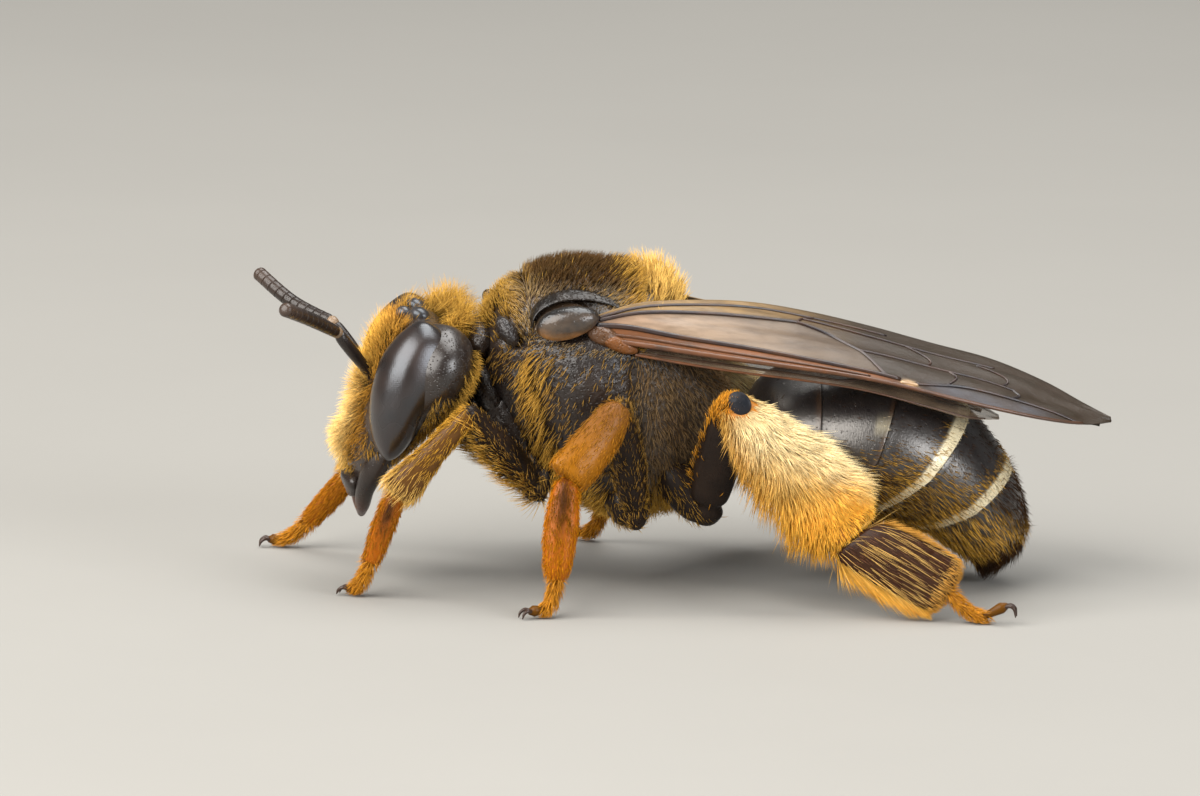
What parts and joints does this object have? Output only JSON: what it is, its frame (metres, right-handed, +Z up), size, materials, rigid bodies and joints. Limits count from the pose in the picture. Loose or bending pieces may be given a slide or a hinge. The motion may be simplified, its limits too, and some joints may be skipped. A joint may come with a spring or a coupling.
{
  "type": "loosestrife bee",
  "caption": "Standing dark bee with golden hair, orange-haired legs, pollen-brush hind legs, pale-banded black abdomen and folded smoky wings.",
  "frame": {"origin": "on the floor under the bee, at the middle of its bounding box", "axes": "+Z up; the bee faces -X and its left side is towards -Y"},
  "size_m": [0.0113, 0.0062, 0.0043],
  "materials": {
    "shell_and_hair": "dark punctured shell under short golden hair",
    "eye": "glossy black-brown facets",
    "ocellus": "glossy, clear grey",
    "dark_shell": "satin black-brown shell",
    "tegula": "glossy translucent brown",
    "wing": "smoky brown membrane with a satin sheen",
    "abdomen": "glossy black with pale hair bands",
    "orange_hair": "short orange velvet",
    "pollen_brush": "long cream to golden hair"
  },
  "bodies": {
    "root": {"head": "shell_and_hair", "eye_left": "eye", "mandible_left": "dark_shell", "scape_left": "dark_shell", "flagellum_left": "dark_shell", "tegula_left": "tegula", "forewing_left": "wing", "hindwing_left": "wing", "eye_right": "eye", "mandible_right": "dark_shell", "scape_right": "dark_shell", "flagellum_right": "dark_shell", "tegula_right": "tegula", "forewing_right": "wing", "hindwing_right": "wing", "ocellus_left": "ocellus", "ocellus_middle": "ocellus", "ocellus_right": "ocellus", "neck": "dark_shell", "waist": "dark_shell", "thorax": "shell_and_hair", "abdomen_1": "abdomen", "abdomen_2": "abdomen", "abdomen_3": "abdomen", "abdomen_4": "abdomen", "abdomen_5": "abdomen", "abdomen_6": "abdomen", "coxa_fore_left": "dark_shell", "femur_fore_left": "dark_shell", "tibia_fore_left": "orange_hair", "basitarsus_fore_left": "orange_hair", "tarsus_fore_left": "orange_hair", "coxa_fore_right": "dark_shell", "femur_fore_right": "dark_shell", "tibia_fore_right": "orange_hair", "basitarsus_fore_right": "orange_hair", "tarsus_fore_right": "orange_hair", "coxa_mid_left": "dark_shell", "femur_mid_left": "dark_shell", "tibia_mid_left": "orange_hair", "basitarsus_mid_left": "orange_hair", "tarsus_mid_left": "orange_hair", "coxa_mid_right": "dark_shell", "femur_mid_right": "dark_shell", "tibia_mid_right": "orange_hair", "basitarsus_mid_right": "orange_hair", "tarsus_mid_right": "orange_hair", "coxa_hind_left": "dark_shell", "femur_hind_left": "dark_shell", "tibia_hind_left": "pollen_brush", "basitarsus_hind_left": "pollen_brush", "tarsus_hind_left": "orange_hair", "coxa_hind_right": "dark_shell", "femur_hind_right": "dark_shell", "tibia_hind_right": "pollen_brush", "basitarsus_hind_right": "pollen_brush", "tarsus_hind_right": "orange_hair"}
  },
  "joints": []
}
